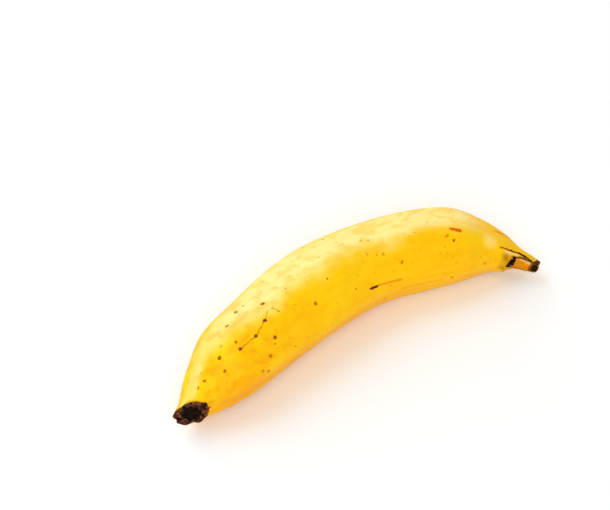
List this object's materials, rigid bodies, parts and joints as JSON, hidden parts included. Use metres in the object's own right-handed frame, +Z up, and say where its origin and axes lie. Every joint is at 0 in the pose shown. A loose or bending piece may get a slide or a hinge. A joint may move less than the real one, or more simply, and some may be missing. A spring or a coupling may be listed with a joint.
{
  "type": "plantain",
  "caption": "Ripe yellow plantain, a bowed fruit with blunt ridges, a dried blossom scar at one end and a torn stem at the other; food prop that lies on its flat belly face.",
  "frame": {"origin": "on the surface that the fruit lies on, under the middle of its bounding box", "axes": "+Z up from the flat belly face; +X along the fruit towards the torn stem, with the blossom scar at -X; the hollow side of the bow faces -Y"},
  "size_m": [0.2432, 0.0676, 0.0496],
  "materials": {
    "peel": "waxy ripe yellow peel with brown freckles, paler along the ridges, dark brown at the blossom scar and at the torn stem"
  },
  "bodies": {
    "root": {"plantain": "peel"}
  },
  "joints": []
}
